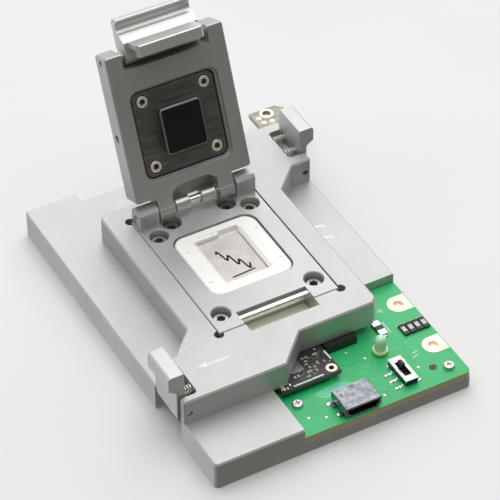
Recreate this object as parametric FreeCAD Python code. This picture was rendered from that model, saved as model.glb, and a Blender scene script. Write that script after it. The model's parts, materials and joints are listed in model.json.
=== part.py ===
import FreeCAD, Part
import math
import os

# Clamshell programming jig for a small surface-mount chip.
# Frame: origin at the centre of the base plate's underside, +Z up,
# +Y towards the lid's hinge, +X towards the right-hand release lever. Millimetres.

V = FreeCAD.Vector
AXIS_X = V(1, 0, 0)
AXIS_Y = V(0, 1, 0)
AXIS_Z = V(0, 0, 1)

# ---------------------------------------------------------------- driving dimensions
EDGE = 0.3                      # edge break on the machined plates
FIT = 0.02                      # gap between fixed parts that fill each other's holes
RUN = 0.05                      # radial running clearance on every pivot
GAP = 0.1                       # gap round a board in its recess
INSERT_GAP = 0.22               # gap round the socket insert in its pocket
WIRE_SIDES = 8                  # flats round the spring wire

# base plate
BASE_W = 55.0
BASE_L = 81.0
BASE_T = 6.0
BASE_CORNER = 1.0
BACK_STEP_HALF = 16.1           # half width of the step in the back edge
BACK_STEP_DEPTH = 2.9

# main board and its recess at the front right
RECESS_X0 = -8.8
RECESS_Y1 = -11.7
RECESS_Z = 2.7
BOARD_T = 1.2
BOARD_TOP = RECESS_Z + BOARD_T

# carrier plate
CARRIER_T = 5.6
DECK = BASE_T + CARRIER_T       # top of the carrier and of the socket insert
MAIN_HALF_W = 17.8
MAIN_Y0 = -22.0
MAIN_Y1 = 26.2
ARM_TAPER = 5.4                 # run of the slope from the main part to each arm
LEFT_ARM_Y0 = -28.55
LEFT_ARM_Y1 = -16.7
LEFT_ARM_X1 = -5.9
RIGHT_ARM_Y0 = 20.8
RIGHT_ARM_Y1 = 34.6
POCKET_FLOOR = 7.4
RELIEF_R = 1.0

# release levers: drawn on the left side, turned half round for the right side
LEVER_TURN_Y = 2.5              # the two levers are half a turn apart about this point
LEVER_L = 8.2
LEVER_Y0 = -26.7
LEVER_SLOT_Y0 = -27.1
LEVER_SLOT_Y1 = -18.1
LEVER_SLOT_X1 = -23.8
LEVER_PIN_X = -26.24
LEVER_PIN_Z = 8.4
LEVER_PIN_R = 0.6
LEVER_TOP = 17.1
LEVER_HEAD_X0 = -29.6
LEVER_HEAD_X1 = -26.3
LEVER_STEM_X0 = -28.0
HOOK_LEDGE_Z = 4.4
BASE_SLOT_Y0 = -27.3
BASE_SLOT_Y1 = -16.6
BASE_SLOT_X1 = -24.9
BASE_UNDERCUT_X1 = -23.1
LEVER_SPRING_Y = (-24.9, -20.3)
LEVER_SPRING_Z = 10.9
LEVER_SPRING_R = 0.85
LEVER_SPRING_WIRE = 0.3

# socket insert
INSERT_HALF_W = 12.95
INSERT_Y0 = -15.3
INSERT_Y1 = 21.1
NEST_Y = 3.2
NEST_HALF_W = 8.9
NEST_HALF_L = 9.3
NEST_CORNER = 2.6
NEST_TOP = 11.4
NEST_GAP = 0.3
NEST_FLANGE = 1.0
NEST_FLANGE_Z0 = 7.95
NEST_FLANGE_Z1 = 8.95
NEST_LIP_Z = 9.2
NEST_FLOOR_Z0 = 9.4
NEST_SEAT_Z = 9.8
CHIP_HALF_W = 4.5
CHIP_HALF_L = 6.5
CHIP_T = 0.75
COUNTERBORE_R = 1.9
COUNTERBORE_Z = 9.2
COUNTERBORE_RIM = 0.2
INSERT_SCREWS = ((-10.1, 14.9), (10.1, 14.9), (-6.1, 17.2), (6.1, 17.2), (-10.1, -10.6), (10.1, -10.6))
KNUCKLE_X0 = 8.65
KNUCKLE_X1 = 12.8
KNUCKLE_Y0 = 17.4
KNUCKLE_TOP = 16.0
ROD_SLOT_HALF = 7.55
ROD_SLOT_Y1 = -11.7
ROD_Y = -12.8
ROD_Z = 10.5
ROD_R = 0.8
ROD_HALF = 8.9
SCOOP_Y0 = -17.6

# lid: drawn closed, then turned to its open stop.
# v runs forward from the hinge axis, w runs up from it.
HINGE_Y = 19.2
HINGE_Z = 13.8
HINGE_PIN_R = 0.75
OPEN_ANGLE = 112.1
LID_HALF_W = 12.7
LID_V0 = 3.25
LID_V1 = 33.55
LID_W0 = -1.7
LID_W1 = 3.3
LUG_R = 1.9
LUG_X0 = 5.0
LUG_X1 = 8.3
ARCH_V1 = 4.5
ARCH_WEB = (1.8, 2.9)           # thickness of the web behind the arch
ARCH_R = 2.4
SLEEVE_R = 1.4
SLEEVE_X0 = 1.3
SLEEVE_X1 = 4.5
NOTCH_HALF = 9.3
NOTCH_V0 = 30.05
NOTCH_ROOF_V1 = 31.75           # the lid's outer skin covers the notch up to here
NOTCH_ROOF_W0 = 2.75
PRESS_V = HINGE_Y - NEST_Y
PRESS_RECESS_HALF_W = 9.7
PRESS_RECESS_HALF_L = 9.6
PRESS_LEDGE = 0.55              # width of the ledge round the plate
PRESS_LEDGE_DEPTH = 0.7
PRESS_RECESS_W = 1.7            # height of the recess floor above the hinge axis
PRESS_FACE_DEPTH = 0.8          # the plate's face lies this far inside the lid
PRESS_PLATE_T = 1.3
PRESS_BOSS_W = -2.95
PAD_HALF_W = 4.15
PAD_HALF_L = 4.5
PAD_W = -3.1
PRESS_TRAVEL = 0.7
PRESS_SCREW = 6.75
PRESS_SCREW_HEAD = (-1.05, -0.4)

# latch
LATCH_PIN_V = 32.15
LATCH_PIN_W = 0.9
LATCH_PIN_R = 0.6
LATCH_HALF_W = 8.0
LATCH_FOOT_HALF_W = 7.2
LATCH_FOOT_EDGE = 0.6

# small boards
DAUGHTER_Z0 = 4.9
DAUGHTER_T = 0.9
TAB_Z0 = 4.75
TAB_T = 1.0


# ---------------------------------------------------------------- helpers
def box(x0, x1, y0, y1, z0, z1):
    return Part.makeBox(x1 - x0, y1 - y0, z1 - z0, V(x0, y0, z0))


def rod(radius, start, end):
    a = V(*start)
    b = V(*end)
    return Part.makeCylinder(radius, (b - a).Length, a, b - a)


def prism_z(points, z0, z1):
    wire = Part.makePolygon([V(x, y, z0) for x, y in points] + [V(points[0][0], points[0][1], z0)])
    return Part.Face(wire).extrude(V(0, 0, z1 - z0))


def prism_x(points, x0, x1):
    wire = Part.makePolygon([V(x0, y, z) for y, z in points] + [V(x0, points[0][0], points[0][1])])
    return Part.Face(wire).extrude(V(x1 - x0, 0, 0))


def prism_y(points, y0, y1):
    wire = Part.makePolygon([V(x, y0, z) for x, z in points] + [V(points[0][0], y0, points[0][1])])
    return Part.Face(wire).extrude(V(0, y1 - y0, 0))


def is_vertical(edge):
    a = edge.Vertexes[0].Point
    b = edge.Vertexes[-1].Point
    return abs(a.x - b.x) < 1e-6 and abs(a.y - b.y) < 1e-6 and abs(a.z - b.z) > 1e-6


def at_height(edge, z):
    return all(abs(v.Point.z - z) < 1e-6 for v in edge.Vertexes)


def rounded_box(x0, x1, y0, y1, z0, z1, radius):
    block = box(x0, x1, y0, y1, z0, z1)
    return block.makeFillet(radius, [e for e in block.Edges if is_vertical(e)])


def break_top(shape, z, size):
    return shape.makeChamfer(size, [e for e in shape.Edges if at_height(e, z)])


def cut_all(shape, tools):
    for tool in tools:
        shape = shape.cut(tool)
    return shape


def fuse_all(shapes):
    result = shapes[0]
    for shape in shapes[1:]:
        result = result.fuse(shape)
    return result.removeSplitter()


def coil(radius, wire_r, length, turns, start, direction):
    rise = length - 2 * wire_r
    helix = Part.makeHelix(rise / turns, rise, radius)
    points = []
    for side in range(WIRE_SIDES):
        angle = 2 * math.pi * (side + 0.5) / WIRE_SIDES
        points.append(V(radius + wire_r * math.cos(angle), 0, wire_r * math.sin(angle)))
    section = Part.makePolygon(points + points[:1])
    body = Part.Wire(helix.Edges).makePipeShell([section], True, True)
    body.translate(V(0, 0, wire_r))
    body.Placement = FreeCAD.Placement(V(*start), FreeCAD.Rotation(AXIS_Z, V(*direction))).multiply(body.Placement)
    return body


def half_turn(shape):
    turned = shape.copy()
    turned.rotate(V(0, LEVER_TURN_Y, 0), AXIS_Z, 180)
    return turned


def both_sides(shape):
    return [shape, shape.mirror(V(0, 0, 0), AXIS_X)]


def lid_profile(points, x0, x1):
    return prism_x([(HINGE_Y - v, HINGE_Z + w) for v, w in points], x0, x1)


def lid_box(x0, x1, v0, v1, w0, w1):
    return box(x0, x1, HINGE_Y - v1, HINGE_Y - v0, HINGE_Z + w0, HINGE_Z + w1)


def lid_rounded(half_w, half_l, w0, w1, radius):
    y = HINGE_Y - PRESS_V
    return rounded_box(-half_w, half_w, y - half_l, y + half_l, HINGE_Z + w0, HINGE_Z + w1, radius)


def open_lid(shape):
    turned = shape.copy()
    turned.rotate(V(0, HINGE_Y, HINGE_Z), AXIS_X, -OPEN_ANGLE)
    return turned


def save(name, *solids):
    shape = solids[0] if len(solids) == 1 else Part.makeCompound(list(solids))
    shape.exportStep("parts/" + name + ".step")
    print(name, len(solids), round(shape.Volume, 2), shape.isValid())


# ---------------------------------------------------------------- base plate
POWER_PADS = ((24.9, -17.8), (24.9, -30.75))
POWER_HOLE_R = 1.1
POWER_HOLE_DEPTH = 0.6
BOARD_SCREWS = ((-5.75, -32.3), (24.3, -37.35))
TEST_HOLE = (21.6, -36.0)


def base_plate():
    half_w = BASE_W / 2
    half_l = BASE_L / 2
    plate = rounded_box(-half_w, half_w, -half_l, half_l, 0, BASE_T, BASE_CORNER)
    plate = break_top(plate, BASE_T, EDGE)
    step = box(-BACK_STEP_HALF, BACK_STEP_HALF, half_l - BACK_STEP_DEPTH, half_l + 1, -1, BASE_T + 1)
    recess = box(RECESS_X0, half_w + 1, -half_l - 1, RECESS_Y1, RECESS_Z, BASE_T + 1)
    slot = box(-half_w - 1, BASE_SLOT_X1, BASE_SLOT_Y0, BASE_SLOT_Y1, -1, BASE_T + 1)
    undercut = box(-half_w - 1, BASE_UNDERCUT_X1, BASE_SLOT_Y0, BASE_SLOT_Y1, -1, HOOK_LEDGE_Z)
    lever_way = slot.fuse(undercut)
    ledge = box(16.5, half_w + 1, 33.4, half_l + 1, TAB_Z0, BASE_T + 1)
    plate = cut_all(plate, [step, recess, lever_way, half_turn(lever_way), ledge])
    for x, y in BOARD_SCREWS:
        plate = plate.cut(rod(0.6 + FIT, (x, y, 0.8), (x, y, RECESS_Z + 1)))
    return plate


# ---------------------------------------------------------------- main board and its parts
def main_board():
    board = box(RECESS_X0 + GAP, BASE_W / 2 - GAP, -BASE_L / 2 + GAP, RECESS_Y1 - GAP, RECESS_Z, BOARD_TOP)
    corner = [e for e in board.Edges if is_vertical(e) and e.Vertexes[0].X > 0 and e.Vertexes[0].Y < -30]
    board = board.makeFillet(BASE_CORNER, corner)
    for x, y in BOARD_SCREWS:
        board = board.cut(rod(0.7, (x, y, 0), (x, y, 9)))
    for x, y in POWER_PADS:
        board = board.cut(rod(POWER_HOLE_R, (x, y, BOARD_TOP - POWER_HOLE_DEPTH), (x, y, 9)))
    x, y = TEST_HOLE
    return board.cut(rod(0.5, (x, y, RECESS_Z + 0.3), (x, y, 9)))


def power_pad(x, y):
    z = BOARD_TOP
    ring = rod(2.2, (x, y, z), (x, y, z + 0.06))
    strip = box(x, BASE_W / 2 - 0.3, y - 2.2, y + 2.2, z, z + 0.06)
    top = ring.fuse(strip).removeSplitter()
    lining = rod(POWER_HOLE_R - FIT, (x, y, z - POWER_HOLE_DEPTH + FIT), (x, y, z + 0.06))
    hollow = rod(POWER_HOLE_R - 0.1, (x, y, z - POWER_HOLE_DEPTH + 0.1), (x, y, z + 1))
    return fuse_all([top, lining]).cut(hollow)


def board_screw(x, y):
    z = BOARD_TOP
    head = rod(1.1, (x, y, z), (x, y, z + 0.7))
    head = head.makeFillet(0.3, [e for e in head.Edges if at_height(e, z + 0.7)])
    shank = rod(0.6, (x, y, 1.0), (x, y, z + 0.1))
    cross = box(x - 0.65, x + 0.65, y - 0.14, y + 0.14, z + 0.35, z + 1)
    other = box(x - 0.14, x + 0.14, y - 0.65, y + 0.65, z + 0.35, z + 1)
    return cut_all(fuse_all([head, shank]), [cross, other])


USB_X0 = 0.15
USB_X1 = 7.85
USB_Y0 = -40.0
USB_Y1 = -34.5
USB_H = 2.6


def usb_section(inset, y0, y1):
    x0 = USB_X0 + inset
    x1 = USB_X1 - inset
    z0 = BOARD_TOP + inset
    z1 = BOARD_TOP + USB_H - inset
    taper = 0.7
    rise = 0.9
    points = [(x0 + taper, z0), (x1 - taper, z0), (x1, z0 + rise), (x1, z1), (x0, z1), (x0, z0 + rise)]
    return prism_y(points, y0, y1)


def usb_shell():
    outer = usb_section(0, USB_Y0, USB_Y1)
    outer = outer.makeFillet(0.35, [e for e in outer.Edges if e.Length > 5.4 and e.Length < 5.6])
    shell = outer.cut(usb_section(0.28, USB_Y0 + 0.35, USB_Y1 - 0.5))
    shell = shell.cut(usb_section(0.5, USB_Y0 - 1, USB_Y0 + 0.4))
    pins = []
    for x in (USB_X0 - 0.55, USB_X1 - 0.55):
        for y in (USB_Y0 + 1.1, USB_Y0 + 3.7):
            pins.append(box(x, x + 1.1, y, y + 0.9, BOARD_TOP, BOARD_TOP + 0.5))
    shell = fuse_all([shell] + pins)
    slot = box(USB_X0 + 1.0, USB_X0 + 1.25, USB_Y1 - 2.4, USB_Y1 - 1.3, BOARD_TOP + USB_H - 0.4, 9)
    return shell.cut(slot)


def usb_tongue():
    z = BOARD_TOP + 1.35
    tongue = box(USB_X0 + 1.6, USB_X1 - 1.6, USB_Y0 + 0.7, USB_Y1 - 0.5 - FIT, z, z + 0.6)
    back = box(USB_X0 + 1.1, USB_X1 - 1.1, USB_Y1 - 1.4, USB_Y1 - 0.5 - FIT, BOARD_TOP + 0.32, BOARD_TOP + 2.2)
    return fuse_all([tongue, back])


def usb_contacts():
    z = BOARD_TOP + 1.35
    return [box(x - 0.14, x + 0.14, USB_Y0 + 1.0, USB_Y1 - 1.45, z - 0.08, z) for x in (2.7, 3.35, 4.0, 4.65, 5.3)]


SWITCH_X0 = 14.35
SWITCH_X1 = 17.05
SWITCH_Y0 = -38.1
SWITCH_Y1 = -31.4
SWITCH_H = 1.45
SWITCH_COVER = 0.2
SWITCH_LIP = 0.4                # how far the cover folds down its sides
KNOB_Y = -34.0
KNOB_TRAVEL = 1.5


def switch_body():
    x0 = SWITCH_X0 + SWITCH_COVER
    x1 = SWITCH_X1 - SWITCH_COVER
    top = BOARD_TOP + SWITCH_H
    body = box(x0, x1, SWITCH_Y0 + 0.1, SWITCH_Y1 - 0.1, BOARD_TOP, top - SWITCH_COVER)
    skirt = box(SWITCH_X0, SWITCH_X1, SWITCH_Y0 + 0.1, SWITCH_Y1 - 0.1, BOARD_TOP + 0.2, top - SWITCH_LIP - FIT)
    way = box(x0 + 0.45, x1 - 0.45, KNOB_Y - KNOB_TRAVEL - 1.5, KNOB_Y + 1.5, BOARD_TOP + 0.4, 9)
    return fuse_all([body, skirt]).cut(way)


def switch_cover():
    top = BOARD_TOP + SWITCH_H
    cover = box(SWITCH_X0, SWITCH_X1, SWITCH_Y0, SWITCH_Y1, top - SWITCH_LIP, top)
    inside = box(SWITCH_X0 + SWITCH_COVER, SWITCH_X1 - SWITCH_COVER, SWITCH_Y0 - 1, SWITCH_Y1 + 1, 0, top - SWITCH_COVER)
    way = box(SWITCH_X0 + 0.6, SWITCH_X1 - 0.6, KNOB_Y - KNOB_TRAVEL - 1.25, KNOB_Y + 1.25, 0, 9)
    return cut_all(cover, [inside, way])


def switch_leads():
    z = BOARD_TOP
    leads = []
    for y in (-33.7, -35.6, -37.6):
        foot = box(SWITCH_X0 - 1.5, SWITCH_X0 - 0.5, y - 0.25, y + 0.25, z, z + 0.15)
        riser = box(SWITCH_X0 - 0.62, SWITCH_X0 - 0.5, y - 0.25, y + 0.25, z, z + 0.55)
        arm = box(SWITCH_X0 - 0.62, SWITCH_X0 + SWITCH_COVER - FIT, y - 0.25, y + 0.25, z, z + 0.15)
        leads.append(fuse_all([foot, riser, arm]))
    for x in (SWITCH_X0 - 0.35, SWITCH_X1):
        for y in (SWITCH_Y0 + 0.15, SWITCH_Y1 - 0.75):
            leads.append(box(x, x + 0.35, y, y + 0.6, z, z + 0.14))
    return leads


def switch_knob():
    z = BOARD_TOP
    foot = box(SWITCH_X0 + 0.95, SWITCH_X1 - 0.95, KNOB_Y - 1.0, KNOB_Y + 1.0, z + 0.6, z + 1.05)
    knob = box(SWITCH_X0 + 0.95, SWITCH_X1 - 0.95, KNOB_Y - 0.75, KNOB_Y + 0.75, z + 0.6, z + 2.6)
    knob = knob.makeChamfer(0.15, [e for e in knob.Edges if at_height(e, z + 2.6)])
    return fuse_all([foot, knob])


LED_X = 15.0
LED_Y = -27.6


def led():
    z = BOARD_TOP + 0.3
    flange = rod(1.5, (LED_X, LED_Y, z), (LED_X, LED_Y, z + 0.6))
    body = rod(1.15, (LED_X, LED_Y, z), (LED_X, LED_Y, z + 2.7))
    dome = Part.makeSphere(1.15, V(LED_X, LED_Y, z + 2.7))
    return fuse_all([flange, body, dome])


def led_leads():
    z = BOARD_TOP
    return [box(LED_X + dx - 0.2, LED_X + dx + 0.2, LED_Y - 0.2, LED_Y + 0.2, z, z + 0.28) for dx in (-0.9, 0.9)]


def chip_part(x, y, width, length, height, cap):
    z = BOARD_TOP
    y0 = y - length / 2
    y1 = y + length / 2
    body = box(x - width / 2, x + width / 2, y0 + cap, y1 - cap, z + 0.03, z + height)
    caps = [box(x - width / 2, x + width / 2, start, start + cap, z, z + height + 0.02) for start in (y0, y1 - cap)]
    return body, caps


CHIP_ROW_X = (22.05, 23.5, 24.95, 26.4)
CHIP_ROW_Y = -24.8
LED_RESISTOR = (18.0, -22.2)


def board_passives():
    bodies = []
    caps = []
    for x in CHIP_ROW_X:
        body, ends = chip_part(x, CHIP_ROW_Y, 1.2, 2.9, 0.5, 0.45)
        bodies.append(body)
        caps += ends
    x, y = LED_RESISTOR
    body, ends = chip_part(x, y, 1.6, 3.9, 0.6, 1.35)
    bodies.append(body)
    caps += ends
    return bodies, caps


# ---------------------------------------------------------------- daughter board and rear tab board
DAUGHTER_X0 = -7.5
DAUGHTER_X1 = 5.2
DAUGHTER_Y0 = -29.8
DAUGHTER_Y1 = -13.5
DAUGHTER_PAD = (3.8, -28.4)


def daughter_board():
    z1 = DAUGHTER_Z0 + DAUGHTER_T
    board = box(DAUGHTER_X0, DAUGHTER_X1, DAUGHTER_Y0, DAUGHTER_Y1, DAUGHTER_Z0, z1)
    x, y = DAUGHTER_PAD
    board = board.cut(rod(0.55, (x, y, 0), (x, y, 9)))
    for i in range(5):
        y = DAUGHTER_Y0 + 1.0 + 1.3 * i
        board = board.cut(rod(0.35, (DAUGHTER_X0, y, 0), (DAUGHTER_X0, y, 9)))
    return board


def daughter_pads():
    z = DAUGHTER_Z0 + DAUGHTER_T
    x, y = DAUGHTER_PAD
    pads = [rod(1.1, (x, y, z), (x, y, z + 0.05)).cut(rod(0.55, (x, y, 0), (x, y, 9)))]
    for i in range(5):
        y = DAUGHTER_Y0 + 1.0 + 1.3 * i
        pad = box(DAUGHTER_X0, DAUGHTER_X0 + 1.0, y - 0.45, y + 0.45, z, z + 0.05)
        pads.append(pad.cut(rod(0.35, (DAUGHTER_X0, y, 0), (DAUGHTER_X0, y, 9))))
    return pads


def daughter_parts():
    z = DAUGHTER_Z0 + DAUGHTER_T
    spots = ((-3.5, -27.45, 0.5, 0.6), (-2.75, -27.4, 0.5, 0.6), (-1.05, -28.4, 0.7, 0.4), (-0.35, -27.3, 1.0, 0.4),
             (0.9, -23.75, 0.6, 0.35), (0.1, -23.7, 0.6, 0.35), (0.35, -24.6, 0.6, 0.35), (0.0, -25.4, 0.6, 0.4),
             (0.25, -26.3, 0.4, 0.6), (1.2, -26.7, 0.5, 0.5), (1.05, -27.55, 0.4, 0.6), (2.2, -26.0, 0.4, 0.9),
             (2.8, -23.7, 0.9, 0.5), (3.45, -22.5, 0.5, 0.4), (3.5, -26.2, 0.4, 0.6), (-5.2, -24.6, 0.5, 1.0))
    return [box(x - w / 2, x + w / 2, y - d / 2, y + d / 2, z, z + 0.12) for x, y, w, d in spots]


def daughter_chip():
    z = DAUGHTER_Z0 + DAUGHTER_T
    can = rounded_box(-3.75, -0.85, -26.55, -23.5, z, z + 0.15, 0.7)
    return break_top(can, z + 0.15, 0.05)


def board_connector():
    return box(5.6, 12.4, -23.3, -18.0, BOARD_TOP, BASE_T - 0.15)


def daughter_posts():
    spots = ((-4.5, -28.0), (3.0, -26.6), (-5.0, -15.5), (3.0, -15.5))
    return [box(x - 1.1, x + 1.1, y - 0.9, y + 0.9, BOARD_TOP, DAUGHTER_Z0) for x, y in spots]


def rear_tab_board():
    points = [(16.7, 33.6), (26.9, 33.6), (26.9, 36.0), (35.0, 38.6), (35.8, 40.2), (35.8, 43.0), (33.0, 45.9),
              (26.9, 45.9), (26.9, 40.2), (16.7, 40.2)]
    board = prism_z(points, TAB_Z0, TAB_Z0 + TAB_T)
    return board.cut(rod(0.9, (30.3, 44.3, 0), (30.3, 44.3, 9)))


def rear_tab_pads():
    z = TAB_Z0 + TAB_T
    ring = rod(1.5, (30.3, 44.3, z), (30.3, 44.3, z + 0.05)).cut(rod(0.9, (30.3, 44.3, 0), (30.3, 44.3, 9)))
    spots = ((28.1, 43.6), (28.4, 41.9), (30.2, 41.6), (33.5, 42.6), (34.6, 40.6))
    return [ring] + [rod(0.55, (x, y, z), (x, y, z + 0.05)) for x, y in spots]


# ---------------------------------------------------------------- carrier plate
def carrier_outline():
    half = BASE_W / 2
    w = MAIN_HALF_W
    return [(-half, LEFT_ARM_Y0), (LEFT_ARM_X1, LEFT_ARM_Y0), (0.5, MAIN_Y0), (w - 1.2, MAIN_Y0),
            (w, MAIN_Y0 + 1.2), (w, RIGHT_ARM_Y0 - ARM_TAPER), (w + ARM_TAPER, RIGHT_ARM_Y0), (half, RIGHT_ARM_Y0),
            (half, RIGHT_ARM_Y1), (-LEFT_ARM_X1, RIGHT_ARM_Y1), (-0.5, MAIN_Y1), (-w + 1.2, MAIN_Y1),
            (-w, MAIN_Y1 - 1.2), (-w, LEFT_ARM_Y1 + ARM_TAPER), (-w - ARM_TAPER, LEFT_ARM_Y1), (-half, LEFT_ARM_Y1)]


def lever_slot():
    slot = box(-BASE_W / 2 - 1, LEVER_SLOT_X1, LEVER_SLOT_Y0, LEVER_SLOT_Y1, BASE_T - 1, DECK + 1)
    return slot.makeFillet(0.8, [e for e in slot.Edges if is_vertical(e) and e.Vertexes[0].X > LEVER_SLOT_X1 - 0.01])


def lever_pin_hole():
    return rod(LEVER_PIN_R + FIT, (LEVER_PIN_X, LEFT_ARM_Y0 - 1, LEVER_PIN_Z), (LEVER_PIN_X, LEFT_ARM_Y1 + 1, LEVER_PIN_Z))


def carrier_plate():
    plate = prism_z(carrier_outline(), BASE_T, DECK)
    plate = plate.makeFillet(0.5, [e for e in plate.Edges if is_vertical(e)])
    plate = break_top(plate, DECK, EDGE)
    w = INSERT_HALF_W + INSERT_GAP
    y0 = INSERT_Y0 - INSERT_GAP
    y1 = INSERT_Y1 + INSERT_GAP
    tools = [box(-w, w, y0, y1, POCKET_FLOOR, DECK + 1)]
    for x in (-w, w):
        for y in (y0, y1):
            tools.append(rod(RELIEF_R, (x, y, POCKET_FLOOR), (x, y, DECK + 1)))
    tools.append(box(-5.0, 5.0, NEST_Y - 7.0, NEST_Y + 7.0, BASE_T - 1, DECK))
    slope = [(SCOOP_Y0, DECK + 0.01), (SCOOP_Y0 + 1.2, POCKET_FLOOR), (y0 + 0.5, POCKET_FLOOR), (y0 + 0.5, DECK + 0.01)]
    tools.append(prism_x(slope, -ROD_SLOT_HALF + 0.1, ROD_SLOT_HALF - 0.1))
    for x, y in INSERT_SCREWS:
        tools.append(rod(0.9 + FIT, (x, y, BASE_T + 0.4), (x, y, DECK)))
    tools += [lever_slot(), half_turn(lever_slot()), lever_pin_hole(), half_turn(lever_pin_hole())]
    return cut_all(plate, tools)


# ---------------------------------------------------------------- release levers
def lever():
    top = [(LEVER_HEAD_X1, LEVER_TOP), (LEVER_HEAD_X0, LEVER_TOP), (LEVER_HEAD_X0, 13.9), (LEVER_STEM_X0, 12.8),
           (LEVER_STEM_X0, 6.3), (-25.7, 2.4), (-23.9, 2.4), (-23.9, 3.4), (-24.5, 4.05), (-25.9, 4.05),
           (-25.9, 6.6), (-25.0, 7.6), (-25.0, 9.2), (LEVER_HEAD_X1, 9.8)]
    body = prism_y(top, LEVER_Y0, LEVER_Y0 + LEVER_L)
    outer = [e for e in body.Edges if at_height(e, LEVER_TOP) and e.BoundBox.XMax < LEVER_HEAD_X0 + 0.01]
    body = body.makeFillet(0.8, outer)
    others = [e for e in body.Edges if at_height(e, LEVER_TOP) and e.BoundBox.XLength < 1e-6 and e.Vertexes[0].X > -27]
    body = body.makeFillet(0.25, others)
    start = (LEVER_PIN_X, LEVER_Y0 - 1, LEVER_PIN_Z)
    end = (LEVER_PIN_X, LEVER_Y0 + LEVER_L + 1, LEVER_PIN_Z)
    body = body.cut(rod(LEVER_PIN_R + RUN, start, end))
    for y in LEVER_SPRING_Y:
        well = rod(LEVER_SPRING_R + 0.4, (LEVER_HEAD_X1 - 0.6, y, LEVER_SPRING_Z), (LEVER_HEAD_X1 + 1, y, LEVER_SPRING_Z))
        body = body.cut(well)
    return body


def lever_pin():
    start = (LEVER_PIN_X, LEFT_ARM_Y0 + 0.5, LEVER_PIN_Z)
    end = (LEVER_PIN_X, LEFT_ARM_Y1 - 0.7, LEVER_PIN_Z)
    return rod(LEVER_PIN_R, start, end)


def lever_springs():
    x0 = LEVER_HEAD_X1 - 0.55
    length = LEVER_SLOT_X1 - 0.05 - x0
    return [coil(LEVER_SPRING_R, LEVER_SPRING_WIRE / 2, length, 5, (x0, y, LEVER_SPRING_Z), (1, 0, 0))
            for y in LEVER_SPRING_Y]


# ---------------------------------------------------------------- socket insert, nest and chip
def knuckle():
    profile = [(KNUCKLE_Y0, DECK - 0.5), (INSERT_Y1, DECK - 0.5), (INSERT_Y1, KNUCKLE_TOP - 1.0),
               (INSERT_Y1 - 1.0, KNUCKLE_TOP), (KNUCKLE_Y0 + 0.6, KNUCKLE_TOP), (KNUCKLE_Y0, KNUCKLE_TOP - 0.6)]
    return prism_x(profile, KNUCKLE_X0, KNUCKLE_X1)


def socket_insert():
    w = INSERT_HALF_W
    block = box(-w, w, INSERT_Y0, INSERT_Y1, POCKET_FLOOR, DECK)
    block = break_top(block, DECK, 0.15)
    block = fuse_all([block] + both_sides(knuckle()))
    gap = NEST_GAP
    half_w = NEST_HALF_W + gap
    half_l = NEST_HALF_L + gap
    window = rounded_box(-half_w, half_w, NEST_Y - half_l, NEST_Y + half_l, POCKET_FLOOR - 1, DECK + 1, NEST_CORNER + gap)
    half_w += NEST_FLANGE
    half_l += NEST_FLANGE
    under = rounded_box(-half_w, half_w, NEST_Y - half_l, NEST_Y + half_l, POCKET_FLOOR - 1, NEST_LIP_Z, NEST_CORNER + gap)
    rod_slot = box(-ROD_SLOT_HALF, ROD_SLOT_HALF, INSERT_Y0 - 1, ROD_SLOT_Y1, POCKET_FLOOR - 1, DECK + 1)
    rod_seat = rod(ROD_R + FIT, (-ROD_HALF - 0.05, ROD_Y, ROD_Z), (ROD_HALF + 0.05, ROD_Y, ROD_Z))
    pin_hole = rod(HINGE_PIN_R + FIT, (-20, HINGE_Y, HINGE_Z), (20, HINGE_Y, HINGE_Z))
    block = cut_all(block, [window, under, rod_slot, rod_seat, pin_hole])
    for x, y in INSERT_SCREWS:
        block = block.cut(rod(COUNTERBORE_R, (x, y, COUNTERBORE_Z), (x, y, DECK + 1)))
        rim = COUNTERBORE_RIM
        block = block.cut(Part.makeCone(COUNTERBORE_R, COUNTERBORE_R + rim, rim, V(x, y, DECK - rim)))
        block = block.cut(rod(0.95, (x, y, POCKET_FLOOR - 1), (x, y, DECK + 1)))
    return block


def hex_socket(x, y, z0, z1, across):
    r = across / math.sqrt(3)
    points = [(x + r * math.cos(math.radians(60 * k)), y + r * math.sin(math.radians(60 * k))) for k in range(6)]
    return prism_z(points, z0, z1)


def insert_screw(x, y):
    head = rod(1.6, (x, y, COUNTERBORE_Z), (x, y, COUNTERBORE_Z + 1.0))
    head = head.makeChamfer(0.15, [e for e in head.Edges if at_height(e, COUNTERBORE_Z + 1.0)])
    shank = rod(0.9, (x, y, BASE_T + 0.5), (x, y, COUNTERBORE_Z + 0.1))
    return fuse_all([head, shank]).cut(hex_socket(x, y, COUNTERBORE_Z + 0.2, COUNTERBORE_Z + 2, 1.6))


NEST_SPRING_SPOTS = ((-7.4, -7.8), (7.4, -7.8), (-7.4, 7.8), (7.4, 7.8))
NEST_SPRING_TOP = 10.0


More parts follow.
